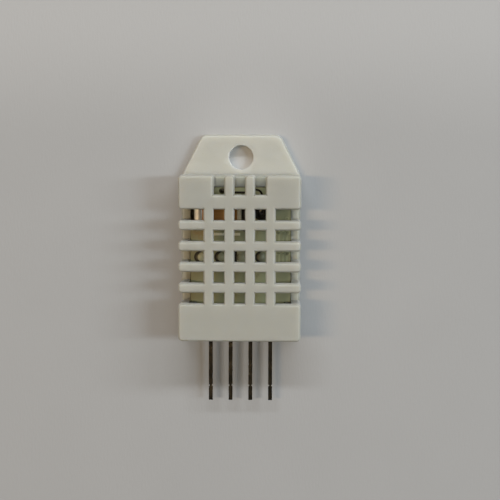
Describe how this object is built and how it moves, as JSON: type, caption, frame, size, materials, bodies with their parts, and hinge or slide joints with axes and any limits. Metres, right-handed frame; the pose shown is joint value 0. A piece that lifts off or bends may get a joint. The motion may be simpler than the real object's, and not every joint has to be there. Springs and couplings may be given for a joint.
{
  "type": "temperature humidity sensor module",
  "caption": "Flat slotted plastic case with a holed mounting tab at one end and a row of flat pins at the other, sensing parts on a board inside.",
  "frame": {"origin": "under the middle of the whole module, on the flat back that it rests on", "axes": "+Z from the back to the slotted front, +Y from the pins towards the mounting tab, X across the case"},
  "size_m": [0.0152, 0.034, 0.0077],
  "materials": {
    "case_plastic": "fine satin moulded finish",
    "board_laminate": "satin solder mask over copper",
    "pin_metal": "dull tinned strip",
    "gold_plate": "smooth plating",
    "solder_metal": "bright solder",
    "carrier_ceramic": "matt plate",
    "amber_film": "thin glossy film",
    "black_resin": "dipped resin",
    "chip_resin": "matt moulded resin",
    "wire_metal": "dark coated wire",
    "sensing_ceramic": "sintered chip",
    "capacitor_ceramic": "fired body",
    "resistor_ceramic": "coated body",
    "chip_tin": "tinned ends"
  },
  "bodies": {
    "root": {"back_cover": "case_plastic", "front_cover": "case_plastic", "circuit_board": "board_laminate", "power_pin": "pin_metal", "data_pin": "pin_metal", "spare_pin": "pin_metal", "ground_pin": "pin_metal", "pin_eyelets": "gold_plate", "test_point_eyelets": "gold_plate", "bead_lead_eyelets": "gold_plate", "pin_solder": "solder_metal", "test_point_solder": "solder_metal", "bead_lead_solder": "solder_metal", "sensor_clip_solder": "solder_metal", "humidity_carrier": "carrier_ceramic", "comb_electrodes": "gold_plate", "humidity_film": "amber_film", "left_sensor_clip": "gold_plate", "right_sensor_clip": "gold_plate", "thermistor_chip": "sensing_ceramic", "thermistor_coating": "black_resin", "short_bead_lead": "wire_metal", "long_bead_lead": "wire_metal", "microcontroller_body": "chip_resin", "microcontroller_leads": "chip_tin", "supply_capacitor_body": "capacitor_ceramic", "supply_capacitor_ends": "chip_tin", "pull_up_resistor_body": "resistor_ceramic", "pull_up_resistor_ends": "chip_tin", "divider_resistor_body": "resistor_ceramic", "divider_resistor_ends": "chip_tin"}
  },
  "joints": []
}
